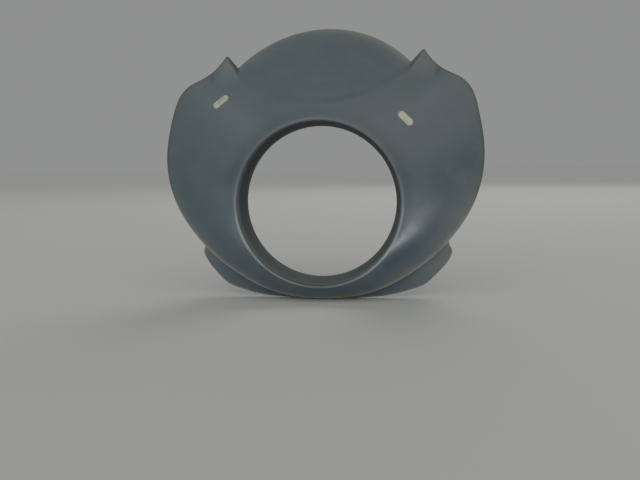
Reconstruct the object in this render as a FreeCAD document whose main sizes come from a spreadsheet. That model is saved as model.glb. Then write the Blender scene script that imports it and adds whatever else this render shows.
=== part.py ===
"""Headlamp fairing: a one-piece moulded shell with a round lamp opening.

Frame: millimetres, the lamp axis along Y, the front towards -Y, Z up, and the
origin at the centre of the lamp bore. Angles go round the lamp from the dome.
"""
import FreeCAD
import Part
import Sketcher
import bisect
import math
import os

os.makedirs("parts", exist_ok=True)
doc = FreeCAD.newDocument("headlamp_fairing")
sizes = doc.addObject("Spreadsheet::Sheet", "Sizes")

# Driving dimensions, in millimetres and degrees
DIMENSIONS = [
    # Wall and lamp opening
    ("wall", 3.0),
    ("bore_radius", 92.5),
    ("bore_land", 12.0),
    ("lip_reach", 22.0),
    ("lip_flare", 6.5),
    ("lip_roll", 1.5),
    # Radial sections: angle from the dome, fall from the lip back to the outline, and crown
    ("dome_angle", 0.0), ("dome_drop", 104.0), ("dome_crown", 1.08),
    ("brow_angle", 32.5), ("brow_drop", 69.0), ("brow_crown", 1.10),
    ("shoulder_angle", 51.0), ("shoulder_drop", 49.0), ("shoulder_crown", 1.20),
    ("side_angle", 75.0), ("side_drop", 28.0), ("side_crown", 1.40),
    ("flank_angle", 105.0), ("flank_drop", 27.0), ("flank_crown", 1.50),
    ("jaw_angle", 135.0), ("jaw_drop", 27.0), ("jaw_crown", 1.25),
    ("chin_angle", 180.0), ("chin_drop", 25.0), ("chin_crown", 1.05),
    ("trim_margin", 24.0),
    # Outline seen from the front
    ("dome_top", 224.0),
    ("notch_x", 111.0), ("notch_z", 171.5),
    ("ear_x", 126.5), ("ear_z", 187.5),
    ("crease_x", 145.0), ("crease_z", 165.0),
    ("brow_x", 167.0), ("brow_z", 151.5),
    ("shoulder_x", 181.5), ("shoulder_z", 137.0),
    ("upper_side_x", 190.0), ("upper_side_z", 110.0),
    ("side_x", 196.5), ("side_z", 60.0),
    ("lower_side_x", 186.0), ("lower_side_z", 0.0),
    ("flank_x", 154.5), ("flank_z", -50.0),
    ("jaw_x", 104.0), ("jaw_z", -93.0),
    ("cheek_x", 50.0), ("cheek_z", -116.5),
    ("chin_z", -121.0),
    # Lower skirt behind the rim and its side tabs: angle, width past the rim, depth behind it
    ("skirt_neck", 6.0),
    ("skirt_tuck", 2.5),
    ("tab_start_angle", 108.5), ("tab_start_width", 7.0), ("tab_start_depth", 34.0),
    ("tab_top_angle", 112.0), ("tab_top_width", 18.6), ("tab_top_depth", 34.0),
    ("tab_shoulder_angle", 116.0), ("tab_shoulder_width", 23.6), ("tab_shoulder_depth", 33.0),
    ("tab_side_angle", 124.0), ("tab_side_width", 25.6), ("tab_side_depth", 26.0),
    ("tab_corner_angle", 130.0), ("tab_corner_width", 26.0), ("tab_corner_depth", 21.5),
    ("tab_foot_angle", 137.0), ("tab_foot_width", 20.0), ("tab_foot_depth", 17.0),
    ("tab_end_angle", 146.0), ("tab_end_width", 13.0), ("tab_end_depth", 13.0),
    ("keel_angle", 157.0), ("keel_width", 6.0), ("keel_depth", 10.0),
    ("chin_width", 1.0), ("chin_depth", 8.0),
    # Raised ears beside the screen seat
    ("ear_height", 10.0),
    ("ear_crest", 2.0),
    ("ear_length", 38.0),
    # Screen seat
    ("seat_depth", 1.2),
    ("seat_low_z", 122.0),
    # Slots for the screen's clips, each filled flush
    ("slot_length", 22.0),
    ("slot_width", 9.0),
    ("left_slot_x", -125.0), ("left_slot_z", 125.8), ("left_slot_turn", -41.0),
    ("right_slot_x", 103.0), ("right_slot_z", 98.6), ("right_slot_turn", 45.5),
]
for row, (alias, value) in enumerate(DIMENSIONS, start=1):
    sizes.set("A%d" % row, alias)
    sizes.set("B%d" % row, repr(value))
    sizes.setAlias("B%d" % row, alias)
doc.recompute()

STATIONS = ["dome", "brow", "shoulder", "side", "flank", "jaw", "chin"]
SECTION_ANGLES = range(-30, 211, 10)
SECTION_STEPS = 8
SKIRT_STEPS = 12
CLEAR = 400.0


def size(alias):
    return float(sizes.get(alias))


def ring(names, quantity):
    """(angle, value) pairs of a size that is given at several angles."""
    return [(size(name + "_angle"), size(name + "_" + quantity)) for name in names]


def smooth(pairs, angle):
    """The value at an angle on a smooth curve through (angle, value) pairs."""
    index = bisect.bisect_right([station for station, value in pairs], angle) - 1
    before, start, end, after = pairs[index - 1: index + 3]
    width = end[0] - start[0]
    share = (angle - start[0]) / width
    start_slope = (end[1] - before[1]) / (end[0] - before[0]) * width
    end_slope = (after[1] - start[1]) / (after[0] - start[0]) * width
    return (start[1] * (2 * share ** 3 - 3 * share ** 2 + 1)
            + start_slope * (share ** 3 - 2 * share ** 2 + share)
            + end[1] * (3 * share ** 2 - 2 * share ** 3)
            + end_slope * (share ** 3 - share ** 2))


def both_sides(right):
    """Pairs from the dome to the chin, repeated as mirror images past both of them."""
    return [(-angle, value) for angle, value in right[:0:-1]] + right + [
        (360.0 - angle, value) for angle, value in right[-2::-1]]


def place(radius, depth, angle):
    """A point in space from a radius, a depth and an angle from the dome."""
    turn = math.radians(angle)
    return FreeCAD.Vector(radius * math.sin(turn), depth, radius * math.cos(turn))


def spline(points):
    """A smooth curve through points, with the same knots whatever their spacing."""
    curve = Part.BSplineCurve()
    curve.interpolate(Points=points, Parameters=[float(index) for index in range(len(points))])
    return curve.toShape()


def curve(points):
    """A smooth curve through points that are unevenly spaced."""
    through = Part.BSplineCurve()
    through.interpolate(points)
    return through.toShape()


def line(start, end):
    return Part.LineSegment(start, end).toShape()


def add_shape(label, shape):
    item = doc.addObject("Part::Feature", label)
    item.Shape = shape
    return item


def combine(kind, label, *items):
    """A boolean feature: Common and Cut take two items, MultiFuse takes any number."""
    item = doc.addObject("Part::" + kind, label)
    if kind == "MultiFuse":
        item.Shapes = list(items)
    else:
        item.Base, item.Tool = items
    return item


def bind(item, **bindings):
    for name, expression in bindings.items():
        item.setExpression(name.replace("__", "."), expression)


# Outline seen from the front
def front(across, up):
    return FreeCAD.Vector(across, -CLEAR / 2, up)


def front_named(name, side=1):
    return front(side * size(name + "_x"), size(name + "_z"))


def outline_wire():
    """Dome, notches, ears and brows, and one long curve down both sides and under the chin."""
    dome = Part.Arc(front_named("notch", -1), front(0.0, size("dome_top")), front_named("notch"))
    edges = [dome.toShape()]
    for side in (1, -1):
        edges.append(line(front_named("notch", side), front_named("ear", side)))
        edges.append(curve([front_named(name, side) for name in ("ear", "crease", "brow")]))
    names = ["brow", "shoulder", "upper_side", "side", "lower_side", "flank", "jaw", "cheek"]
    right = [front_named(name) for name in names]
    left = [front_named(name, -1) for name in reversed(names)]
    edges.append(curve(right + [front(0.0, size("chin_z"))] + left))
    return Part.Wire(Part.__sortEdges__(edges))


outline = outline_wire()


def rim_radius(angle):
    """How far the outline lies from the lamp axis at an angle."""
    ray = line(front(0, 0), place(CLEAR, -CLEAR / 2, angle))
    hit = outline.distToShape(ray)[1][0][0]
    return math.hypot(hit.x, hit.z)


SPANS = both_sides([(size(name + "_angle"), rim_radius(size(name + "_angle"))) for name in STATIONS])
DROPS = both_sides(ring(STATIONS, "drop"))
CROWNS = both_sides(ring(STATIONS, "crown"))
LIP_RADIUS = size("bore_radius") + size("lip_flare")


# Front skin and wall
def skin_depth(radius, angle):
    """How far back (Y) the front skin lies at a radius and angle round the lamp."""
    share = max(radius - LIP_RADIUS, 0.0) / (smooth(SPANS, angle) - LIP_RADIUS)
    return smooth(DROPS, angle) * share ** smooth(CROWNS, angle) - size("lip_reach")


def skin_point(across, up, back=0.0):
    """The point of the front skin seen at a place in the front view, moved back."""
    radius = math.hypot(across, up)
    angle = math.degrees(math.atan2(abs(across), up))
    return FreeCAD.Vector(across, skin_depth(radius, angle) + back, up)


def wall_section(angle, lift, thickness):
    """A closed section in one radial plane, from ahead of the skin to a thickness behind it."""
    first = LIP_RADIUS - size("wall") / 2
    last = smooth(SPANS, angle) + size("trim_margin")
    outer = []
    inner = []
    for step in range(SECTION_STEPS + 1):
        radius = first + (last - first) * step / SECTION_STEPS
        depth = skin_depth(radius, angle)
        slope = skin_depth(radius + 0.5, angle) - skin_depth(radius - 0.5, angle)
        length = math.hypot(slope, 1.0)
        outer.append(place(radius, depth - lift, angle))
        inner.append(place(radius - thickness * slope / length, depth + thickness / length, angle))
    return Part.Wire([spline(outer), line(outer[-1], inner[-1]),
                      spline(inner[::-1]), line(inner[0], outer[0])])


def wall_loft(label, lift, thickness):
    """The right half of a wall that follows the front skin, and a little past the centre."""
    sections = [wall_section(angle, lift, thickness) for angle in SECTION_ANGLES]
    return add_shape(label, Part.makeLoft(sections, True, False, False))


def prism(label, wire):
    """A solid that reaches right through the part behind a closed outline."""
    face = add_shape(label + "_face", Part.Face(wire))
    item = doc.addObject("Part::Extrusion", label)
    item.Base = face
    item.Dir = FreeCAD.Vector(0, 1, 0)
    item.LengthFwd = CLEAR
    item.Solid = True
    return item


# Lower skirt with its side tabs
def skirt_section(angle, width, reach):
    """A turned-back flange that tucks in behind the rim and then flares out and back."""
    wall = size("wall")
    rim = rim_radius(angle)
    depth = skin_depth(rim, angle)
    start = (rim - wall / 5, depth + wall / 2)
    neck = (rim - size("skirt_tuck"), depth + size("skirt_neck"))
    edge = (rim + width, depth + reach)
    run = math.hypot(edge[0] - neck[0], edge[1] - neck[1])
    aside = wall * (edge[1] - neck[1]) / run
    behind = wall * (edge[0] - neck[0]) / run
    inner = [(edge[0] - aside, edge[1] + behind), (neck[0] - wall, neck[1] + behind),
             (start[0] - wall, start[1])]
    corners = [place(radius, back, angle) for radius, back in [start, neck, edge] + inner]
    return Part.makePolygon(corners + corners[:1])


def skirt_loft():
    """The skirt from its first tab round the chin, and a little past the centre."""
    names = ["tab_start", "tab_top", "tab_shoulder", "tab_side", "tab_corner", "tab_foot", "tab_end",
             "keel", "chin"]
    widths = both_sides([(0.0, 0.0)] + ring(names, "width"))
    depths = both_sides([(0.0, size("tab_start_depth"))] + ring(names, "depth"))
    first = size("tab_start_angle")
    step = (180.0 - first) / SKIRT_STEPS
    angles = [first + step * index for index in range(SKIRT_STEPS + 4)]
    sections = [skirt_section(angle, smooth(widths, angle), smooth(depths, angle)) for angle in angles]
    return add_shape("skirt_loft", Part.makeLoft(sections, True, False, False))


# Ear beside the screen seat
def ear_solid():
    """A lifted corner: a crest along the seat's end that fades outwards and downwards."""
    wall = size("wall")
    ear, crease, notch = ((size(name + "_x"), size(name + "_z")) for name in ("ear", "crease", "notch"))
    past = wall
    peak = skin_point(ear[0] + past / 2, ear[1] + past, -size("ear_height"))
    foot = skin_point(crease[0] + past, crease[1] + past / 2, wall / 3)
    under = skin_point(ear[0], ear[1] + past, wall * 2 / 3)
    root = skin_point(notch[0], notch[1] + past / 3, wall / 3)
    crest = skin_point(notch[0], notch[1] - 2 * past, -size("ear_crest"))
    tip = skin_point(ear[0] + past, ear[1] - size("ear_length"), wall / 3)
    faces = [(peak, crest, tip), (peak, tip, foot), (peak, root, crest), (peak, under, root),
             (crest, root, tip), (under, foot, tip), (under, tip, root), (peak, foot, under)]
    shell = Part.Shell([Part.Face(Part.makePolygon(list(face) + [face[0]])) for face in faces])
    solid = Part.Solid(shell)
    if solid.Volume < 0:
        solid.reverse()
    return add_shape("ear", solid)


outline_prism = prism("outline_prism", outline)
seat_arc = Part.Arc(front_named("notch", -1), front(0.0, size("seat_low_z")), front_named("notch"))
above = front(0.0, 2 * size("dome_top"))
seat_prism = prism("seat_prism", Part.Wire([
    seat_arc.toShape(), line(front_named("notch"), above), line(above, front_named("notch", -1))]))

right_side = doc.addObject("Part::Box", "right_side")
right_side.Length = right_side.Width = right_side.Height = 2 * CLEAR
right_side.Placement.Base = FreeCAD.Vector(0, -CLEAR, -CLEAR)

trimmed_wall = combine("Common", "trimmed_wall", wall_loft("wall_loft", 0.0, size("wall")), outline_prism)
half_wall = combine("Common", "half_wall", trimmed_wall, right_side)
half_skirt = combine("Common", "half_skirt", skirt_loft(), right_side)
trimmed_ear = combine("Common", "trimmed_ear", ear_solid(), outline_prism)
seat_slab = wall_loft("seat_slab", 4 * size("wall"), size("seat_depth"))
half_seat = combine("Common", "half_seat", seat_slab, seat_prism)
seated_wall = combine("Cut", "seated_wall", half_wall, half_seat)
half_shell = combine("MultiFuse", "half_shell", seated_wall, half_skirt, trimmed_ear)
other_half = doc.addObject("Part::Mirroring", "other_half")
other_half.Source = half_shell
other_half.Normal = FreeCAD.Vector(1, 0, 0)


# Lamp collar
def collar_profile():
    """The collar in the XY plane: a straight land at the back and a rolled lip in front."""
    wall, bore, land = size("wall"), size("bore_radius"), size("bore_land") / 2
    crest, reach, roll = LIP_RADIUS, size("lip_reach"), size("lip_roll")
    back = FreeCAD.Vector(bore, land, 0)
    throat = FreeCAD.Vector(bore, -land, 0)
    mouth = FreeCAD.Vector(crest - 2 * roll, roll - reach, 0)
    top = FreeCAD.Vector(crest - roll, -reach, 0)
    outside = FreeCAD.Vector(crest, roll / 3 - reach, 0)
    under = FreeCAD.Vector(crest, wall - reach, 0)
    shoulder = FreeCAD.Vector(bore + wall, wall - land, 0)
    end = FreeCAD.Vector(bore + wall, land, 0)
    edges = [line(back, throat), line(throat, mouth), Part.Arc(mouth, top, outside).toShape(),
             line(outside, under), line(under, shoulder), line(shoulder, end), line(end, back)]
    return Part.Face(Part.Wire(edges))


collar = doc.addObject("Part::Revolution", "collar")
collar.Source = add_shape("collar_profile", collar_profile())
collar.Axis = FreeCAD.Vector(0, 1, 0)
collar.Angle = 360.0
collar.Solid = True


# Slots for the screen's clips
def slot_sketch(label):
    """A round-ended slot about its own centre, its length and width bound to the sizes."""
    sketch = doc.addObject("Sketcher::SketchObject", label)
    radius = size("slot_width") / 2
    reach = size("slot_length") / 2 - radius
    up = FreeCAD.Vector(0, 0, 1)
    left, right = FreeCAD.Vector(-reach, 0, 0), FreeCAD.Vector(reach, 0, 0)
    rise = FreeCAD.Vector(0, radius, 0)
    quarter = math.pi / 2
    sketch.addGeometry(Part.ArcOfCircle(Part.Circle(left, up, radius), quarter, 3 * quarter))
    sketch.addGeometry(Part.ArcOfCircle(Part.Circle(right, up, radius), -quarter, quarter))
    sketch.addGeometry(Part.LineSegment(left - rise, right - rise))
    sketch.addGeometry(Part.LineSegment(right + rise, left + rise))
    start, end, centre = 1, 2, 3
    for first, first_end, second, second_end in (
            (0, end, 2, start), (2, end, 1, start), (1, end, 3, start), (3, end, 0, start)):
        sketch.addConstraint(Sketcher.Constraint("Tangent", first, first_end, second, second_end))
    sketch.addConstraint(Sketcher.Constraint("Symmetric", 0, centre, 1, centre, -1, 1))
    sketch.addConstraint(Sketcher.Constraint("Horizontal", 2))
    width = sketch.addConstraint(Sketcher.Constraint("Radius", 0, radius))
    apart = sketch.addConstraint(Sketcher.Constraint("DistanceX", 0, centre, 1, centre, 2 * reach))
    sketch.setExpression("Constraints[%d]" % width, "Sizes.slot_width / 2")
    sketch.setExpression("Constraints[%d]" % apart, "Sizes.slot_length - Sizes.slot_width")
    return sketch


def slot_cutter(side):
    """A slot standing along Y at its own place and turn in the front view."""
    sketch = slot_sketch(side + "_slot_sketch")
    cutter = doc.addObject("Part::Extrusion", side + "_slot_cutter")
    cutter.Base = sketch
    cutter.DirMode = "Normal"
    cutter.LengthFwd = CLEAR
    cutter.Solid = True
    upright = FreeCAD.Rotation(FreeCAD.Vector(1, 0, 0), 90)
    turn = FreeCAD.Rotation(FreeCAD.Vector(0, 1, 0), size(side + "_slot_turn"))
    place_at = FreeCAD.Vector(size(side + "_slot_x"), CLEAR / 2, size(side + "_slot_z"))
    sketch.Placement = FreeCAD.Placement(place_at, turn.multiply(upright))
    return cutter


left_cutter = slot_cutter("left")
right_cutter = slot_cutter("right")
slotted_left = combine("Cut", "slotted_left", other_half, left_cutter)
slotted_right = combine("Cut", "slotted_right", half_shell, right_cutter)
left_slot_filler = combine("Common", "left_slot_filler", other_half, left_cutter)
right_slot_filler = combine("Common", "right_slot_filler", half_shell, right_cutter)
fairing_shell = combine("MultiFuse", "fairing_shell", slotted_right, slotted_left, collar)
doc.recompute()

for item in doc.Objects:
    if "Invalid" in item.State or "Error" in item.State:
        raise RuntimeError("%s did not rebuild: %s" % (item.Label, item.State))
    if hasattr(item, "Shape") and (item.Shape.isNull() or not item.Shape.isValid()):
        raise RuntimeError("%s has no valid shape" % item.Label)
for node in (fairing_shell, left_slot_filler, right_slot_filler):
    if len(node.Shape.Solids) != 1:
        raise RuntimeError("%s has %d solids" % (node.Label, len(node.Shape.Solids)))
    node.Shape.exportStep("parts/%s.step" % node.Label)
    box = node.Shape.optimalBoundingBox()
    print(node.Label, "%.0f mm3" % node.Shape.Volume, len(node.Shape.Faces), "faces",
          "%.1f x %.1f x %.1f" % (box.XLength, box.YLength, box.ZLength))
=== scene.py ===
"""Upper fairing: a one-piece satin grey moulding with a round lamp opening, seen from the front.

Shapes are worked out in millimetres, X across, Y back and Z up, with the lamp axis along Y.
Angles go round the lamp axis from the dome, in degrees. Materials and the stage are in metres.
"""
import math

import bmesh
import bpy
import numpy as np
from mathutils import Matrix, Vector


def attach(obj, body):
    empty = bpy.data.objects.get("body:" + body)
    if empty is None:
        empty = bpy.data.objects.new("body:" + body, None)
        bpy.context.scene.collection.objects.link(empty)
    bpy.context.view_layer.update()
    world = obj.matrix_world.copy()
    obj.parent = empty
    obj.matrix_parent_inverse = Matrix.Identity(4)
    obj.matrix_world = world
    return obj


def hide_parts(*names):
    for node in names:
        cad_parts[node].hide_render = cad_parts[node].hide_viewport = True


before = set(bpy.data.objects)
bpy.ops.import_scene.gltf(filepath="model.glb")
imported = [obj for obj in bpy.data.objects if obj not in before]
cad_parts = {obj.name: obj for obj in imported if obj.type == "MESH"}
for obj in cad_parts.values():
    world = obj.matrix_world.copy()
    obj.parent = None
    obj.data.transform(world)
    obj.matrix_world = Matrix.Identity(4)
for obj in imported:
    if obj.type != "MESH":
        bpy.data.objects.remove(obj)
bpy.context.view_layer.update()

MM = 0.001

# Wall, lamp opening and lip
WALL = 3.0
BORE, LAND = 92.5, 6.0
LIP, LIP_REACH = 99.0, 22.0
MOUTH, MOUTH_REACH = 96.0, 20.5
EDGE_ROUND = 0.9
REAR_ROUND, BEND_ROUND, LIP_ROUND, LIP_BACK_ROUND = 0.6, 6.0, 2.6, 2.0
COLLAR_FRONT_END, COLLAR_BACK_END, BACK_START = LIP - 0.3, LIP + 3.0, LIP + 4.0

# Fall back from the lip to the outline, and crown, at angles from the dome
DROPS = [(0, 104), (32.5, 69), (51, 49), (75, 28), (105, 27), (135, 27), (180, 25)]
CROWNS = [(0, 1.08), (32.5, 1.1), (51, 1.2), (75, 1.4), (105, 1.5), (135, 1.25), (180, 1.05)]

# Outline in the front view, right half
DOME_TOP = 224.0
NOTCH, EAR, CREASE, BROW = (111, 171.5), (126.8, 189), (145, 165), (167, 151.5)
SIDE = [BROW, (181.5, 137), (190, 110), (196.5, 60), (186, 0), (154.5, -50), (104, -93), (50, -116.5)]
CHIN = (0, -121)
CORNER_SOFTNESS = 1.4
DOME_POINTS, SIDE_POINTS, OUTLINE_STEP = 200, 2001, 0.4

# Raised ears beside the seat: the peak, crest, tip, foot and root of each, with how far they lift
EAR_LIFT = [((128, 190.5), 10.0), ((111, 165.5), 2.0), ((129.5, 149.5), -0.6), ((148, 166.5), -0.6),
            ((111, 172.5), -1.0)]
EAR_SOFTNESS = 0.9

# Creases at the ears' feet, and the screen seat
CREASE_START, CREASE_END = (CREASE[0] + 1, CREASE[1] + 3), (140.5, 151)
CREASE_DEPTH, CREASE_WIDTH, CREASE_FADE = 1.6, 2.2, 0.7
SEAT_LOW, SEAT_DEPTH, SEAT_EDGE = 122.0, 1.0, 9.0

# Turned-back skirt: (angle, width past the rim, depth behind it)
SKIRT_SEAT, SKIRT_NECK, SKIRT_TUCK, SKIRT_ROUND = 0.6, 6.0, 2.5, 3.0
SKIRT = [(0, 0, 34), (108.5, 7, 34), (112, 18.6, 34), (116, 23.6, 33), (124, 25.6, 26), (130, 26, 21.5),
         (137, 20, 17), (146, 13, 13), (157, 6, 10), (180, 1, 8)]
FLAP_RADIUS, FLAP_THINNEST = 160.0, 0.05

# Slots: centre and turn in the front view, and how proud their filler stands
SLOT_LENGTH, SLOT_WIDTH, FILLER_PROUD = 22.0, 9.0, 0.22
SLOTS = {"left": ((-125.0, 125.8), 41.0), "right": ((103.0, 98.6), -45.5)}

# Rows and columns of the meshes, and how late the rows draw in to make room for the rim's rounding
FRONT_ROWS, BACK_ROWS, ROUND_STEPS = 64, 26, 8
COLUMN_STEPS = [(0, 30, 0.75), (30, 32.5, 0.5), (32.5, 35, 0.125), (35, 46, 0.5), (46, 180, 0.75)]
INSET_POWER_FRONT, INSET_POWER_BACK = 12, 6
SKIRT_COLUMNS, SKIRT_END_STEPS = 231, 4
SKIRT_BEND_STEPS, SKIRT_WALL_STEPS, SKIRT_LIP_STEPS = 8, 8, 6
FILLER_RINGS, FILLER_EDGE, FILLER_STEPS = np.array([0.02, 0.3, 0.6, 0.8, 0.93, 1.0]), 0.93, 64

# Marks measured from the rim: rubbed edge with painted shade higher up, close dust with painted floor light,
# a wide band of painted light with some dust, and a band of painted shade further in
RIM_EDGE_REACH, RIM_EDGE_FADE = 2.6, 2.2
RIM_DUST_AND_LIGHT_FADE, BROAD_LIGHT_AND_DUST_REACH = 7.5, 20.0
SHADE_BAND_REACH, SHADE_BAND_WIDTH = 42.0, 17.0

# Marks round the lamp opening, as radii about a point just off the lamp axis: a rubbed line on the lip with
# a painted highlight, painted shade at the lip's foot, and painted shade in the collar
LIP_MARKS_CENTRE = (-1.3, -1.1)
LIP_LINE, LIP_LINE_WIDTH = 101.2, 1.25
LIP_FOOT, LIP_FOOT_WIDTH = 108.0, 8.0
COLLAR_LINE, COLLAR_FADE = LIP_LINE - 1.9, 0.3

# Marks on the ears, a stain at the chin, and the skirt's rubbed edge and the painted shade in its fold
EAR_DUST_LIFT, EAR_WALL_LIFT = 5.0, 1.5
EAR_WALL_START, EAR_WALL_FADE = 2.0, 3.0
STAIN, STAIN_REACH = (31.0, -119.0), (9.0, 4.0)
SKIRT_WEAR, SKIRT_WEAR_FADE = RIM_EDGE_REACH / 2, 0.9
FOLD_SHADE = 9.0


# Curves
def around(pairs, angle):
    """Values at angles on a smooth curve through (angle, value) pairs, alike on both sides."""
    turns, values = np.array(pairs, float).T
    turns = np.concatenate([-turns[:0:-1], turns, 360 - turns[-2::-1]])
    values = np.concatenate([values[:0:-1], values, values[-2::-1]])
    angle = np.abs((np.asarray(angle, float) + 180) % 360 - 180)
    index = np.searchsorted(turns, angle, side="right") - 1
    width = turns[index + 1] - turns[index]
    share = (angle - turns[index]) / width
    low, high = values[index], values[index + 1]
    into = (high - values[index - 1]) / (turns[index + 1] - turns[index - 1]) * width
    out = (values[index + 2] - low) / (turns[index + 2] - turns[index]) * width
    return (low + share ** 2 * (3 - 2 * share) * (high - low)
            + share * (1 - share) * (into * (1 - share) - out * share))


def through(points, count=400):
    """Points along a smooth curve through some points, each end bent like the parabola there."""
    points = np.array(points, float)
    gaps = np.linalg.norm(np.diff(points, axis=0), axis=1)
    steps = np.diff(points, axis=0) / gaps[:, None]
    last = len(points) - 1
    system, wanted = np.eye(last + 1), np.zeros_like(points)
    wanted[0] = steps[0] + (steps[0] - steps[1]) * gaps[0] / (gaps[0] + gaps[1])
    wanted[-1] = steps[-1] + (steps[-1] - steps[-2]) * gaps[-1] / (gaps[-1] + gaps[-2])
    for i in range(1, last):
        system[i, i - 1: i + 2] = gaps[i], 2 * (gaps[i - 1] + gaps[i]), gaps[i - 1]
        wanted[i] = 3 * (gaps[i] * steps[i - 1] + gaps[i - 1] * steps[i])
    slopes = np.linalg.solve(system, wanted)
    ends = np.concatenate([[0], np.cumsum(gaps)])
    at = np.linspace(0, ends[-1], count)
    index = np.clip(np.searchsorted(ends, at, side="right") - 1, 0, last - 1)
    share = ((at - ends[index]) / gaps[index])[:, None]
    gap = gaps[index][:, None]
    return (points[index] + share ** 2 * (3 - 2 * share) * (points[index + 1] - points[index])
            + gap * share * (1 - share) * (slopes[index] * (1 - share) - slopes[index + 1] * share))


def rounded(points, radii, steps=6):
    """An open polyline whose inner corners are rounded to some radii."""
    points = np.array(points, float)
    made = [points[0]]
    for before, corner, after, radius in zip(points, points[1:], points[2:], radii):
        into = (corner - before) / np.linalg.norm(corner - before)
        out = (after - corner) / np.linalg.norm(after - corner)
        turn = math.acos(np.clip(into @ out, -1, 1))
        reach = radius * math.tan(turn / 2)
        inward = (out - into * (into @ out)) / math.sin(turn)
        centre = corner - into * reach + inward * radius
        for step in range(steps + 1):
            angle = turn * step / steps
            made.append(centre + radius * (into * math.sin(angle) - inward * math.cos(angle)))
    return np.array(made + [points[-1]])


def even(points, spacing):
    """The same polyline in even steps."""
    along = np.concatenate([[0], np.cumsum(np.linalg.norm(np.diff(points, axis=0), axis=1))])
    at = np.linspace(0, along[-1], max(2, int(round(along[-1] / spacing)) + 1))
    return np.stack([np.interp(at, along, points[:, i]) for i in range(points.shape[1])], 1)


def outline():
    """Angles and radii of the front outline, its corners a little rounded."""
    radius = (NOTCH[0] ** 2 + (DOME_TOP - NOTCH[1]) ** 2) / (2 * (DOME_TOP - NOTCH[1]))
    turn = np.linspace(0, math.asin(NOTCH[0] / radius), DOME_POINTS)
    dome = np.stack([radius * np.sin(turn), DOME_TOP - radius * (1 - np.cos(turn))], 1)
    both_sides = through(SIDE + [CHIN] + [(-x, z) for x, z in SIDE[::-1]], SIDE_POINTS)
    side = both_sides[:SIDE_POINTS // 2 + 1]
    right = np.concatenate([dome, [EAR], through([EAR, CREASE, BROW])[1:], side[1:]])
    ring = even(np.concatenate([right, right[-2::-1] * [-1, 1]]), OUTLINE_STEP)[:-1]
    reach = int(4 * CORNER_SOFTNESS / OUTLINE_STEP)
    weights = np.exp(-0.5 * (np.arange(-reach, reach + 1) * OUTLINE_STEP / CORNER_SOFTNESS) ** 2)
    ring = sum(np.roll(ring, k - reach, axis=0) * w for k, w in enumerate(weights)) / weights.sum()
    angle = np.degrees(np.arctan2(ring[:, 0], ring[:, 1])) % 360
    order = np.argsort(angle)
    return angle[order], np.hypot(ring[:, 0], ring[:, 1])[order]


OUTLINE = outline()


def rim_radius(angle):
    return np.interp(np.asarray(angle, float) % 360, *OUTLINE, period=360)


def span(angle):
    """The outline's radius at the stations, smoothly joined, as the skin's sections use it."""
    stations = [(turn, float(rim_radius(turn))) for turn, drop in DROPS]
    return around(stations, angle)


# Front skin
def plane(corners, x, z):
    """Height at a place on the plane through three ((x, z), height) corners."""
    places = np.array([[cx, cz, 1] for (cx, cz), height in corners], float)
    a, b, c = np.linalg.solve(places, [height for where, height in corners])
    return a * x + b * z + c


def blend(low_or_high, softness, *values):
    """The lowest (-1) or highest (+1) of some values, with rounded change-overs."""
    total = values[0] * low_or_high / softness
    for value in values[1:]:
        total = np.logaddexp(total, value * low_or_high / softness)
    return total * softness * low_or_high


def ear_planes(x, z):
    """Heights of the ear's outer face, inner face and wall towards the seat."""
    peak, crest, tip, foot, root = EAR_LIFT
    x = np.abs(x)
    return [plane(corners, x, z) for corners in ((peak, crest, tip), (peak, tip, foot), (peak, root, crest))]


def ear_lift(x, z):
    """How far the ear stands forward of the plain skin."""
    lift = blend(-1, EAR_SOFTNESS, *ear_planes(x, z))
    return blend(1, EAR_SOFTNESS, lift, 0 * lift)


def ear_wall(x, z):
    """1 on the ear's wall towards the seat, fading to 0 on its faces."""
    outer, inner, wall = ear_planes(x, z)
    lower = np.minimum(outer, inner) - wall
    return (np.clip((lower + EAR_WALL_START) / EAR_WALL_FADE, 0, 1)
            * np.clip(ear_lift(x, z) / EAR_WALL_LIFT, 0, 1))


def seat_share(x, z):
    """1 inside the screen seat and 0 outside, with a soft step."""
    radius = (NOTCH[0] ** 2 + (NOTCH[1] - SEAT_LOW) ** 2) / (2 * (NOTCH[1] - SEAT_LOW))
    share = np.clip((radius - np.hypot(x, z - SEAT_LOW - radius)) / SEAT_EDGE + 0.5, 0, 1)
    return share * share * (3 - 2 * share)


def segment_distance(x, z, start, end):
    """Distance from a segment, and the share of the way along it."""
    start, along = np.array(start, float), np.subtract(end, start).astype(float)
    share = np.clip(((x - start[0]) * along[0] + (z - start[1]) * along[1]) / (along @ along), 0, 1)
    return np.hypot(x - start[0] - share * along[0], z - start[1] - share * along[1]), share


def crease_depth(x, z):
    """A short valley that runs down from the outline at the ear's outer foot."""
    away, share = segment_distance(np.abs(x), z, CREASE_START, CREASE_END)
    return CREASE_DEPTH * (1 - share) ** CREASE_FADE * np.exp(-(away / CREASE_WIDTH) ** 2)


def front_depth(x, z):
    """Y of the front skin at a place in the front view."""
    radius = np.hypot(x, z)
    angle = np.degrees(np.arctan2(np.abs(x), z))
    share = np.maximum(radius - LIP, 0) / (span(angle) - LIP)
    plain = around(DROPS, angle) * share ** around(CROWNS, angle) - LIP_REACH
    return plain - ear_lift(x, z) + SEAT_DEPTH * seat_share(x, z) + crease_depth(x, z)


def front_point(x, z):
    return np.stack([x, front_depth(x, z), z], -1)


def back_normal(x, z, step=0.4):
    """The unit vector through the wall, from its front to its back."""
    slope_x = (front_depth(x + step, z) - front_depth(x - step, z)) / (2 * step)
    slope_z = (front_depth(x, z + step) - front_depth(x, z - step)) / (2 * step)
    normal = np.stack([-slope_x, np.ones_like(slope_x), -slope_z], -1)
    return normal / np.linalg.norm(normal, axis=-1, keepdims=True)


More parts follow.
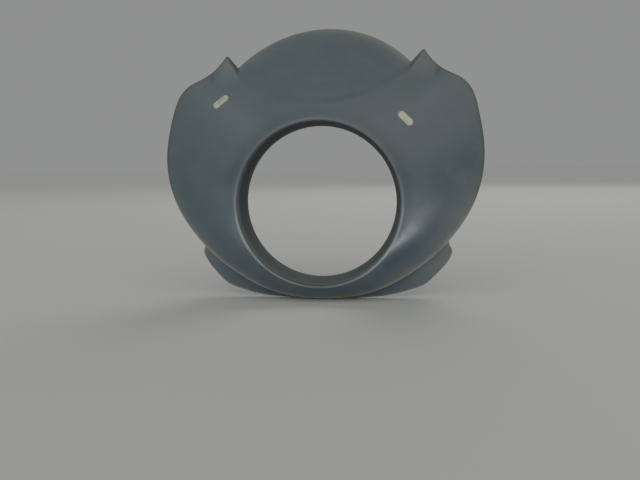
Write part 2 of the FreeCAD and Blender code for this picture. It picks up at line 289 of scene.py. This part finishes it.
# Meshes
def ring_mesh(name, rows, closed_rows=True, closed_columns=True, caps=False):
    """A mesh over a grid of points (rows, columns, 3), in millimetres, with caps on its end columns."""
    count, width = rows.shape[:2]
    number = np.arange(count * width).reshape(count, width)
    if closed_rows:
        number = np.concatenate([number, number[:1]])
    if closed_columns:
        number = np.concatenate([number, number[:, :1]], axis=1)
    corners = [number[:-1, :-1], number[1:, :-1], number[1:, 1:], number[:-1, 1:]]
    faces = np.stack(corners, -1).reshape(-1, 4).tolist()
    if caps:
        faces += [number[:-1, 0].tolist(), number[:-1, -1].tolist()[::-1]]
    mesh = bpy.data.meshes.new(name)
    mesh.from_pydata((rows.reshape(-1, 3) * MM).tolist(), [], faces)
    mesh.update()
    return mesh


def outward(mesh):
    """Closes a mesh's ends and turns its faces outwards."""
    work = bmesh.new()
    work.from_mesh(mesh)
    bmesh.ops.holes_fill(work, edges=[edge for edge in work.edges if edge.is_boundary], sides=0)
    bmesh.ops.recalc_face_normals(work, faces=work.faces)
    work.to_mesh(mesh)
    work.free()
    return mesh


def smooth_object(name, mesh, material):
    mesh = outward(mesh)
    mesh.polygons.foreach_set("use_smooth", [True] * len(mesh.polygons))
    made = bpy.data.objects.new(name, mesh)
    bpy.context.collection.objects.link(made)
    made.data.materials.append(material)
    return made


def put_marks(mesh, marks):
    """Stores named values from 0 to 1 at a mesh's points."""
    for name, values in marks.items():
        layer = mesh.attributes.new(name, "FLOAT", "POINT")
        layer.data.foreach_set("value", np.clip(values, 0, 1).astype(np.float32).ravel())


def bell(distance, reach):
    return np.exp(-(distance / reach) ** 2)


def edge_band(away, reach, fade):
    """1 within a reach of an edge, fading beyond it."""
    return np.exp(-np.maximum(away - reach, 0) / fade)


def column_angles():
    """Angles of the shell's columns, closest together at the notches beside the seat."""
    half = np.concatenate([np.arange(start, end, step) for start, end, step in COLUMN_STEPS])
    return np.concatenate([half, [180], 360 - half[:0:-1]])


def collar_sections():
    """(radius, depth) rows inside and outside the collar: out of the bore, and in behind the skin."""
    flare = (MOUTH - BORE) / (MOUTH_REACH - LAND)
    slant = math.hypot(1, flare)
    corner = BORE + flare * (LIP_REACH - LAND)
    back_corner = BORE + flare * (LIP_REACH - WALL - LAND) + WALL * slant
    bend = WALL * (slant - 1) / flare
    rear = (BORE + WALL / 2, LAND)
    inside = rounded([rear, (BORE, LAND), (BORE, -LAND), (corner, -LIP_REACH),
                      (COLLAR_FRONT_END, -LIP_REACH)], [REAR_ROUND, BEND_ROUND, LIP_ROUND])
    outside = rounded([(COLLAR_BACK_END, WALL - LIP_REACH), (back_corner, WALL - LIP_REACH),
                       (BORE + WALL, -LAND + bend), (BORE + WALL, LAND), rear],
                      [LIP_BACK_ROUND, BEND_ROUND, REAR_ROUND])
    return inside, outside[:-1]


def turned(sections, angles):
    """(radius, depth) rows turned round the lamp axis."""
    turn = np.radians(angles)
    radius, depth = sections[:, 0, None], sections[:, 1, None]
    return np.stack([radius * np.sin(turn), depth + 0 * turn, radius * np.cos(turn)], -1)


def shell_rows():
    """Rows of the shell in order: inside the collar, front, rim, back and outside the collar."""
    angles = column_angles()
    turn = np.radians(angles)
    radial = np.stack([np.sin(turn), np.cos(turn)], -1)
    rim = rim_radius(angles)[:, None] * radial
    edge = front_point(rim[:, 0], rim[:, 1])
    along = np.roll(edge, -1, axis=0) - np.roll(edge, 1, axis=0)
    out = np.cross(along, back_normal(rim[:, 0], rim[:, 1]))
    out *= np.sign(out[:, :1] * radial[:, :1] + out[:, 2:] * radial[:, 1:])
    out /= np.linalg.norm(out, axis=1, keepdims=True)
    inset = EDGE_ROUND * out[:, [0, 2]]

    share = np.linspace(0, 1, FRONT_ROWS + 1)[:, None, None]
    flat = LIP * radial * (1 - share) + rim * share - inset * share ** INSET_POWER_FRONT
    front = front_point(flat[..., 0], flat[..., 1])
    through_rim = back_normal(flat[-1, :, 0], flat[-1, :, 1])

    sweep = np.linspace(0, math.pi / 2, ROUND_STEPS // 2 + 1)[1:, None, None]
    front_round = EDGE_ROUND * (np.sin(sweep) * out + (1 - np.cos(sweep)) * through_rim)
    back_round = EDGE_ROUND * (np.sin(sweep) * out - (1 - np.cos(sweep)) * through_rim)
    rim_rows = np.concatenate([front[-1] + front_round, (front[-1] + WALL * through_rim + back_round)[::-1]])

    share = np.linspace(1, 0, BACK_ROWS + 1)[:, None, None]
    flat = BACK_START * radial * (1 - share) + rim * share - inset * share ** INSET_POWER_BACK
    back = front_point(flat[..., 0], flat[..., 1]) + WALL * back_normal(flat[..., 0], flat[..., 1])
    inside, outside = collar_sections()
    return [turned(inside, angles), front, rim_rows, back, turned(outside, angles)]


def shell_mesh():
    """The moulding from collar to rim, with the marks that its material reads: wear, dust and stains, and
    where painted shade and painted light go.
    """
    parts = shell_rows()
    rows = np.concatenate(parts)
    inside, front, rim, back, outside = (len(part) for part in parts)
    first_rim, first_back = inside + front, inside + front + rim
    row = np.arange(len(rows))[:, None]
    on_front, on_skin = row < first_back, row < first_rim
    x, z = rows[..., 0], rows[..., 2]
    away = np.linalg.norm(rows - rows[first_rim + rim // 2][None], axis=-1)
    radius = np.hypot(x - LIP_MARKS_CENTRE[0], z - LIP_MARKS_CENTRE[1])
    # Some of these marks carry painted light and shade: near the rim, dust with painted floor light; at the
    # lower right, a broad band of painted light and a band of painted shade; round the lamp opening, a
    # painted highlight on the lip and painted shade at its foot and in the collar; and along the rubbed rim
    # edge, painted shade higher up.
    marks = {
        "dust_and_light": np.exp(-away / RIM_DUST_AND_LIGHT_FADE),
        "broad_light_and_dust": bell(away, BROAD_LIGHT_AND_DUST_REACH),
        "shade_band": bell(away - SHADE_BAND_REACH, SHADE_BAND_WIDTH),
        "ear": ear_lift(x, z) / EAR_DUST_LIFT,
        "ear_wall": ear_wall(x, z),
        "crease": crease_depth(x, z) / CREASE_DEPTH,
        "lip": bell(radius - LIP_LINE, LIP_LINE_WIDTH) * on_skin,
        "lip_foot": bell(radius - LIP_FOOT, LIP_FOOT_WIDTH),
        "collar": on_skin / (1 + np.exp((radius - COLLAR_LINE) / COLLAR_FADE)),
        "seat": seat_share(x, z) * (np.hypot(x, z) > LIP),
        "stain": bell(np.hypot((x - STAIN[0]) / STAIN_REACH[0], (z - STAIN[1]) / STAIN_REACH[1]), 1),
    }
    marks = {name: mark * on_front for name, mark in marks.items()}
    marks["wear_and_shade"] = edge_band(away, RIM_EDGE_REACH, RIM_EDGE_FADE)
    marks["behind"] = 1.0 - on_front + 0 * away
    mesh = ring_mesh("fairing_shell_look", rows)
    put_marks(mesh, marks)
    return mesh


def skirt_section(angle, wall):
    """A closed (radius, depth) section of the skirt, a wall thick about its middle line."""
    rim = float(rim_radius(angle))
    turn = math.radians(angle)
    depth = float(front_depth(rim * math.sin(turn), rim * math.cos(turn)))
    width = float(around([row[:2] for row in SKIRT], angle))
    reach = float(around([row[::2] for row in SKIRT], angle))
    outer = np.array([(rim - SKIRT_SEAT, depth + WALL / 2), (rim - SKIRT_TUCK, depth + SKIRT_NECK),
                      (rim + width, depth + reach)])
    run = (outer[2] - outer[1]) / np.linalg.norm(outer[2] - outer[1])
    outer[2] -= run * WALL / 2
    line = rounded(outer, [SKIRT_ROUND], steps=SKIRT_BEND_STEPS)
    share = np.linspace(0, 1, SKIRT_WALL_STEPS + 1)[1:, None]
    line = np.concatenate([line[:-1], line[-2] + (line[-1] - line[-2]) * share])
    step = np.gradient(line, axis=0)
    step /= np.linalg.norm(step, axis=1, keepdims=True)
    inward = np.stack([-step[:, 1], step[:, 0]], 1)
    line = line + inward * WALL / 2
    sweep = np.linspace(0, math.pi, SKIRT_LIP_STEPS + 1)[1:-1, None]
    cap = line[-1] + wall / 2 * (np.sin(sweep) * step[-1] - np.cos(sweep) * inward[-1])
    return np.concatenate([line - inward * wall / 2, cap, (line + inward * wall / 2)[::-1]])


def skirt_columns():
    """(angle, wall) of the skirt's columns, thinned to a rounded edge at both ends."""
    first, last = SKIRT[1][0], 360 - SKIRT[1][0]
    edge = math.degrees(WALL / 2 / FLAP_RADIUS)
    turns = np.linspace(math.pi / 2, 0, SKIRT_END_STEPS + 1)[:-1]
    end = [(first + edge * (1 - math.sin(turn)), max(WALL * math.cos(turn), FLAP_THINNEST))
           for turn in turns]
    middle = [(angle, WALL) for angle in np.linspace(first, last, SKIRT_COLUMNS)
              if first + edge <= angle <= last - edge]
    return end + middle + [(360 - angle, wall) for angle, wall in end[::-1]]


def skirt_mesh():
    """The turned-back skirt, with the marks that its material reads: its rubbed edge, painted light on it,
    and painted shade in its fold.
    """
    columns = skirt_columns()
    sections = np.array([skirt_section(angle, wall) for angle, wall in columns])
    turn = np.radians([angle for angle, wall in columns])
    radius, depth = sections[..., 0].T, sections[..., 1].T
    rows = np.stack([radius * np.sin(turn), depth, radius * np.cos(turn)], -1)
    middle = rows.shape[0] // 2
    away = np.linalg.norm(rows - rows[middle][None], axis=-1)
    # painted shade in the fold where the skirt tucks in under the rim
    fold = np.exp(-np.linalg.norm(rows - rows[0][None], axis=-1) / FOLD_SHADE)
    inner = np.arange(len(rows))[:, None] >= middle + SKIRT_LIP_STEPS // 2
    mesh = ring_mesh("skirt_look", rows, closed_columns=False, caps=True)
    put_marks(mesh, {"wear_and_shade": edge_band(away, SKIRT_WEAR, SKIRT_WEAR_FADE), "skirt": 1 - fold,
                     "fold": fold, "behind": inner + 0 * away})
    return mesh


def filler_mesh(name, centre, turn):
    """A plug with rounded ends, a hair proud of the skin on both sides."""
    reach = (SLOT_LENGTH - SLOT_WIDTH) / 2
    sweep = np.linspace(0, 2 * math.pi, FILLER_STEPS + 1)[:-1]
    across = np.where(np.cos(sweep) >= 0, reach, -reach) + SLOT_WIDTH / 2 * np.cos(sweep)
    up = SLOT_WIDTH / 2 * np.sin(sweep)
    angle = math.radians(turn)
    share = FILLER_RINGS[:, None]
    x = centre[0] + share * (across * math.cos(angle) - up * math.sin(angle))
    z = centre[1] + share * (across * math.sin(angle) + up * math.cos(angle))
    point, normal = front_point(x, z), back_normal(x, z)
    proud = np.where(FILLER_RINGS < 1, FILLER_PROUD, 0.0)[:, None, None]
    front = point - normal * proud
    back = point + normal * (WALL + proud)
    mesh = ring_mesh(name, np.concatenate([front, back[::-1]]), closed_rows=False)
    edge = (FILLER_RINGS >= FILLER_EDGE)[:, None] + 0 * x
    put_marks(mesh, {"edge": np.concatenate([edge, edge[::-1]])})
    return mesh


# Shading, with heights and widths in metres and every share from 0 to 1
class Wire:
    """A shader socket that can be reckoned with."""

    def __init__(self, shader, socket):
        self.shader, self.socket = shader, socket

    def _math(self, operation, first, second):
        return self.shader.node("ShaderNodeMath", {0: first, 1: second}, operation=operation)

    def __add__(self, other):
        return self._math("ADD", self, other)

    def __sub__(self, other):
        return self._math("SUBTRACT", self, other)

    def __rsub__(self, other):
        return self._math("SUBTRACT", other, self)

    def __mul__(self, other):
        return self._math("MULTIPLY", self, other)

    __radd__ = __add__
    __rmul__ = __mul__


class Shader:
    """A material whose nodes are made one by one and linked by name."""

    def __init__(self, name):
        self.material = bpy.data.materials.new(name)
        self.material.use_nodes = True
        self.nodes = self.material.node_tree.nodes
        self.links = self.material.node_tree.links
        self.surface = self.nodes["Principled BSDF"]
        self.place = self.node("ShaderNodeTexCoord", output="Object")

    def node(self, kind, inputs=None, output=0, **settings):
        made = self.nodes.new(kind)
        for key, value in settings.items():
            setattr(made, key, value)
        for key, value in (inputs or {}).items():
            self.put(made.inputs[key], value)
        return Wire(self, made.outputs[output])

    def put(self, socket, value):
        if isinstance(value, Wire):
            self.links.new(value.socket, socket)
        else:
            socket.default_value = value

    def set(self, **values):
        for key, value in values.items():
            self.put(self.surface.inputs[key.replace("_", " ")], value)

    def along(self, axis):
        return self.node("ShaderNodeSeparateXYZ", {0: self.place}, axis)

    def noise(self, scale, detail, roughness=0.5, place=None):
        inputs = {"Vector": place or self.place, "Scale": scale, "Detail": detail, "Roughness": roughness}
        return self.node("ShaderNodeTexNoise", inputs, "Fac")

    def step(self, value, low, high, bottom=0.0, top=1.0):
        """Value taken from low to high onto bottom to top, smoothly."""
        inputs = {"Value": value, "From Min": low, "From Max": high, "To Min": bottom, "To Max": top}
        return self.node("ShaderNodeMapRange", inputs, interpolation_type="SMOOTHSTEP")

    def mix(self, share, first, second):
        inputs = {"Factor": share, 6: first, 7: second}
        return self.node("ShaderNodeMix", inputs, 2, data_type="RGBA")

    def layered(self, colour, layers):
        """A colour under (share, colour) layers, the last on top."""
        for share, layer in layers:
            colour = self.mix(share, colour, layer)
        return colour

    def mark(self, name):
        """One of the values stored at the mesh's points."""
        return self.node("ShaderNodeAttribute", {}, "Fac", attribute_name=name)

    def stretched(self, x, y, z):
        return self.node("ShaderNodeMapping", {"Vector": self.place, "Scale": (x, y, z)})

    def bump(self, height, distance):
        return self.node("ShaderNodeBump", {"Height": height, "Distance": distance, "Strength": 1.0})


def tone(red, green, blue):
    """A colour given in display values from 0 to 255."""
    return tuple((c / 255 / 12.92 if c <= 10 else ((c / 255 + 0.055) / 1.055) ** 2.4)
                 for c in (red, green, blue)) + (1.0,)


# Tones of the primer, of what lies on it, of painted shade and light, and of the filler
# the third tone here is painted shade for the upper right
PRIMER_LOW, PRIMER_HIGH, RIGHT_SIDE_SHADE = tone(82, 96, 107), tone(87, 99, 106), tone(72, 82, 84)
# the first tone here is painted shade at the foot of the lip
LIP_FOOT_SHADE, PRIMER_SEAT, PRIMER_BACK = tone(60, 70, 74), tone(74, 84, 90), tone(78, 84, 88)
# the first tone here is painted shade at the lower right, the second painted light on the skirt, the third
# painted shade in its fold
LOW_RIGHT_SHADE, SKIRT_LIGHT, SKIRT_FOLD_SHADE = tone(50, 64, 80), tone(108, 117, 123), tone(44, 52, 58)
# painted shade inside the collar, the second tone for its top
COLLAR_SHADE_LOW, COLLAR_SHADE_HIGH = tone(74, 79, 77), tone(42, 46, 47)
CLOUD, SPECK = tone(104, 113, 115), tone(120, 126, 126)
BROWNISH, SCRATCH = tone(100, 101, 93), tone(140, 143, 140)
# the first tone here is painted light on the right flap, the third dust with painted floor light along the
# rim
RIGHT_FLAP_LIGHT, EAR_DUST, RIM_DUST_AND_LIGHT_TONE = tone(132, 136, 130), tone(106, 107, 101), tone(126, 125, 117)
# the first tone here is painted light with some dust, in a broad band
BROAD_LIGHT_AND_DUST_TONE, DOME_HAZE = tone(116, 122, 120), tone(128, 131, 118)
# grime with painted shade on the ears' walls, then painted shade in the creases and along the rim's edge
EAR_WALL_GRIME_AND_SHADE, CREASE_SHADE, RIM_EDGE_SHADE = tone(68, 58, 46), tone(58, 58, 54), tone(72, 75, 66)
# the second tone here is wear with a painted highlight along the lip
BARE_EDGE, LIP_WEAR_AND_HIGHLIGHT, YELLOW_STAIN = tone(154, 152, 144), tone(156, 166, 170), tone(128, 108, 66)
FILLER_LEFT, FILLER_RIGHT, FILLER_PALE = tone(166, 166, 148), tone(190, 192, 166), tone(206, 208, 184)
# the second tone here is a painted shadow at the filler's edge
FILLER_SPECK, FILLER_EDGE_SHADOW = tone(140, 138, 118), tone(118, 114, 92)


def primer_coat(shader, across, height, cloudy, fine):
    """The sprayed coat: clouded, speckled and faintly scratched, with painted shade at the upper right and
    at the foot of the lip.
    """
    wide = shader.noise(9.0, 2.0)
    upper = shader.step(height + (wide - 0.5) * 0.1, -0.08, 0.10)
    scratch = shader.noise(26.0, 6.0, 0.75, shader.stretched(1.0, 1.0, 6.0))
    return shader.layered(shader.mix(upper, PRIMER_LOW, PRIMER_HIGH), [
        # painted shade on the upper right
        (shader.step(across, -0.03, 0.06) * shader.step(height, -0.02, 0.05) * 0.3, RIGHT_SIDE_SHADE),
        # painted shade at the foot of the lip, on its upper part
        (shader.mark("lip_foot") * shader.step(height, -0.02, 0.04) * 0.3, LIP_FOOT_SHADE),
        (shader.step(cloudy, 0.45, 0.75) * 0.2, CLOUD),
        (shader.step(fine, 0.5, 0.8) * 0.12, SPECK),
        (shader.step(shader.noise(120.0, 2.0), 0.4, 0.7) * 0.16, BROWNISH),
        (shader.step(scratch, 0.62, 0.72) * 0.08, SCRATCH)])


def moulded_places(shader, colour, across, height, seat, behind):
    """Seat and back each a little different in tone; painted light on the skirt, most on the right flap, and
    painted shade in its fold.
    """
    skirt = shader.mark("skirt")
    right_flap = skirt * shader.step(height, -0.105, -0.080) * shader.step(across, 0.0, 0.05)
    return shader.layered(colour, [
        (seat * 0.06, PRIMER_SEAT),
        # painted light on the skirt and, more, on the right flap
        (behind * 0.3, PRIMER_BACK),
        (skirt * 0.45, SKIRT_LIGHT),
        # painted shade in the skirt's fold
        (shader.mark("fold") * 0.6, SKIRT_FOLD_SHADE),
        (right_flap * 0.45, RIGHT_FLAP_LIGHT)])


def ear_dirt_and_shade(shader, colour, across, cloudy):
    """Dust on the ears' faces, grime with painted shade on their walls, and painted shade in the creases at
    their feet.
    """
    left_more = shader.step(across, -0.01, 0.01, 0.9, 0.45)
    return shader.layered(colour, [
        (shader.mark("ear") * shader.step(cloudy, 0.3, 0.6, 0.35, 0.7), EAR_DUST),
        # grime and painted shade on the ears' walls, more on the left
        (shader.mark("ear_wall") * left_more * shader.step(cloudy, 0.3, 0.55, 0.7, 1.0), EAR_WALL_GRIME_AND_SHADE),
        # painted shade in the creases
        (shader.mark("crease") * 0.75, CREASE_SHADE)])


def rim_dust_and_light(shader, colour, across, height, cloudy, seat):
    """Dust with painted floor light along the rim, painted light with dust broad at the lower right past a
    band of painted shade, and a haze at the dome's edge.
    """
    dust_and_light = shader.mark("dust_and_light")
    low_right = shader.step(across, 0.05, 0.11) * shader.step(height, -0.02, 0.04, 1.0, 0.0)
    mostly_low = shader.step(height, -0.02, 0.05, 0.85, 0.1)
    mostly_right = shader.step(across, -0.04, 0.06, 0.4, 1.0)
    return shader.layered(colour, [
        # dust with painted floor light along the lower rim
        (dust_and_light * mostly_low * shader.step(cloudy, 0.25, 0.55, 0.7, 1.0), RIM_DUST_AND_LIGHT_TONE),
        # a band of painted shade at the lower right, further in from the rim
        (shader.mark("shade_band") * low_right * 0.6, LOW_RIGHT_SHADE),
        # a broad, patchy band of painted light with some dust at the lower right
        (shader.mark("broad_light_and_dust") * low_right * shader.step(cloudy, 0.25, 0.55, 0.3, 0.5), BROAD_LIGHT_AND_DUST_TONE),
        (dust_and_light * seat * shader.step(height, 0.14, 0.19) * mostly_right, DOME_HAZE)])


def rim_wear_and_shade(shader, colour, height, cloudy, fine, seat):
    """The rim, rubbed pale low down and darkened with painted shade higher up, with a stain; also gives
    where it is rubbed.
    """
    wear_and_shade = shader.mark("wear_and_shade")
    patches = shader.step(cloudy * 0.6 + fine * 0.4, 0.34, 0.6, 0.4, 0.9)
    worn = wear_and_shade * patches * shader.step(height, -0.06, 0.0, 1.0, 0.2)
    # painted shade along the rim's edge higher up
    shaded_edge = wear_and_shade * shader.step(height, -0.03, 0.03) * (1 - seat)
    return shader.layered(colour, [
        (worn, BARE_EDGE),
        (shaded_edge * 0.6, RIM_EDGE_SHADE),
        (shader.mark("stain") * shader.step(cloudy, 0.3, 0.6, 0.3, 0.8), YELLOW_STAIN)]), worn


def lamp_opening(shader, colour, height, cloudy, collar):
    """The collar darkened with painted shade, most at the top, and the line along the lip that is rubbed
    pale, with a painted highlight, low down.
    """
    # painted shade inside the collar, darkest at the top
    inside = shader.mix(shader.step(height, -0.08, 0.08), COLLAR_SHADE_LOW, COLLAR_SHADE_HIGH)
    low = shader.step(height, -0.06, 0.05, 1.0, 0.15)
    return shader.layered(colour, [
        (collar * 0.9, inside),
        # the lip's rubbed line with a painted highlight, strongest low down
        (shader.mark("lip") * low * shader.step(cloudy, 0.3, 0.6, 0.65, 1.0), LIP_WEAR_AND_HIGHLIGHT)])


def primer():
    """Satin blue-grey primer with its wear, dust and grime, and painted shade and light."""
    shader = Shader("satin_primer")
    across, height = shader.along("X"), shader.along("Z")
    cloudy, fine = shader.noise(38.0, 4.0, 0.6), shader.noise(420.0, 3.0, 0.6)
    seat, behind, collar = shader.mark("seat"), shader.mark("behind"), shader.mark("collar")
    colour = primer_coat(shader, across, height, cloudy, fine)
    colour = moulded_places(shader, colour, across, height, seat, behind)
    colour = ear_dirt_and_shade(shader, colour, across, cloudy)
    colour = rim_dust_and_light(shader, colour, across, height, cloudy, seat)
    colour, worn = rim_wear_and_shade(shader, colour, height, cloudy, fine, seat)
    colour = lamp_opening(shader, colour, height, cloudy, collar)
    rough = shader.step(cloudy, 0.3, 0.7, 0.32, 0.42) + behind * 0.2 + worn * 0.15 + collar * 0.28
    grain = shader.noise(700.0, 2.0) * 0.6 + shader.noise(90.0, 2.0) * 0.8
    shader.set(Base_Color=colour, Roughness=rough, Normal=shader.bump(grain, 0.00006))
    return shader.material


def filler():
    """Cream filler, patchy and specked, with a painted shadow at its edge, and duller on the left."""
    shader = Shader("cream_filler")
    patchy = shader.noise(160.0, 4.0, 0.6)
    dull = shader.mix(shader.step(shader.along("X"), -0.01, 0.01), FILLER_LEFT, FILLER_RIGHT)
    colour = shader.layered(dull, [
        (shader.step(patchy, 0.35, 0.7), FILLER_PALE),
        (shader.step(shader.noise(600.0, 2.0), 0.6, 0.75) * 0.4, FILLER_SPECK),
        # painted shadow round the filler's edge
        (shader.mark("edge") * 0.5, FILLER_EDGE_SHADOW)])
    shader.set(Base_Color=colour, Roughness=0.75, Normal=shader.bump(shader.noise(500.0, 3.0), 0.0001))
    return shader.material


def plain(name, colour, roughness):
    shader = Shader(name)
    shader.set(Base_Color=colour, Roughness=roughness)
    return shader.material


# The object
primer_look, filler_look = primer(), filler()
shell = smooth_object("fairing_shell_look", shell_mesh(), primer_look)
skirt = smooth_object("skirt_look", skirt_mesh(), primer_look)
bpy.ops.object.select_all(action="DESELECT")
bpy.context.view_layer.objects.active = shell
shell.select_set(True)
skirt.select_set(True)
bpy.ops.object.join()
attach(shell, "root")
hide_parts("fairing_shell")

for side, (centre, turn) in SLOTS.items():
    name = side + "_slot_filler"
    plug = smooth_object(name + "_look", filler_mesh(name + "_look", centre, turn), filler_look)
    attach(plug, "root")
    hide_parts(name)

for name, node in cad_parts.items():
    node.data.materials.clear()
    node.data.materials.append(primer_look if name == "fairing_shell" else filler_look)

# Floor and light
FLOOR, FLOOR_SIZE, FLOOR_TONE = -0.1224, 60.0, tone(193, 194, 190)
SKY_TONE, SKY_STRENGTH = tone(205, 208, 206), 0.48
KEY_STRENGTH, KEY_SPREAD, KEY_FROM = 1.08, 75.0, (0.02, -0.72, 0.69)

bpy.ops.mesh.primitive_plane_add(size=FLOOR_SIZE, location=(0, 0, FLOOR))
floor = bpy.context.object
floor.name = "floor"
floor.visible_shadow = False
floor.data.materials.append(plain("pale_floor", FLOOR_TONE, 0.7))

world = bpy.data.worlds.new("studio")
world.use_nodes = True
background = world.node_tree.nodes["Background"]
background.inputs["Color"].default_value = SKY_TONE
background.inputs["Strength"].default_value = SKY_STRENGTH
bpy.context.scene.world = world


def add_light(light, facing):
    """Puts a light in the scene, shining from a direction."""
    lamp = bpy.data.objects.new(light.name, light)
    lamp.rotation_euler = Vector(facing).to_track_quat("Z", "Y").to_euler()
    bpy.context.collection.objects.link(lamp)
    return lamp


def panel(name, place, size, power, seen_in="both"):
    """A soft round light that faces the lamp opening, for gloss, for diffuse light or for both."""
    light = bpy.data.lights.new(name, "AREA")
    light.shape, light.size, light.energy = "DISK", size, power
    lamp = add_light(light, place)
    lamp.location = place
    lamp.visible_diffuse = seen_in != "gloss"
    lamp.visible_glossy = seen_in != "diffuse"


sun = bpy.data.lights.new("soft_key", "SUN")
sun.energy, sun.angle = KEY_STRENGTH, math.radians(KEY_SPREAD)
add_light(sun, KEY_FROM)
panel("low_right_panel", (0.81, -1.22, -0.60), 0.14, 5.5, "gloss")
panel("low_left_panel", (-0.75, -1.30, -0.60), 0.50, 4.5, "gloss")
panel("low_fill_panel", (0.10, -1.40, -0.70), 0.60, 2.4)
panel("rear_fill_panel", (0.90, 2.60, 2.60), 3.0, 42.0, "diffuse")

# Camera: picture size, focal length, bore radius and aim in pixels, and turns in degrees
PICTURE, FOCAL, BORE_PIXELS, AIM = (640, 480), 600.0, 74.7, (321.3, 202.1)
DISTANCE = BORE * FOCAL / BORE_PIXELS
YAW, PITCH, ROLL = 7.2, 7.0, -0.9
SENSOR = 36.0


def turn_about(axis, degrees):
    return np.array(Matrix.Rotation(math.radians(degrees), 3, axis))


def photo_camera():
    """The camera that sees the lamp opening as the photograph does."""
    axes = turn_about("Z", ROLL) @ turn_about("X", PITCH) @ turn_about("Y", YAW)
    offset = [(AIM[i] - PICTURE[i] / 2) / FOCAL for i in range(2)]
    aim = np.array(offset + [1]) * DISTANCE
    to_scene = np.array([[1, 0, 0], [0, 0, 1], [0, -1, 0]])
    place = to_scene @ (-axes.T @ aim) + [0, LAND, 0]
    right, down, ahead = (to_scene @ axis for axis in axes)
    data = bpy.data.cameras.new("camera")
    data.sensor_width, data.lens = SENSOR, FOCAL / PICTURE[0] * SENSOR
    data.clip_start, data.clip_end = 0.01, 100
    camera = bpy.data.objects.new("camera", data)
    pose = Matrix.Identity(4)
    for row in range(3):
        pose[row][:] = right[row], -down[row], -ahead[row], place[row] * MM
    camera.matrix_world = pose
    bpy.context.collection.objects.link(camera)
    bpy.context.scene.camera = camera


photo_camera()
bpy.context.view_layer.update()
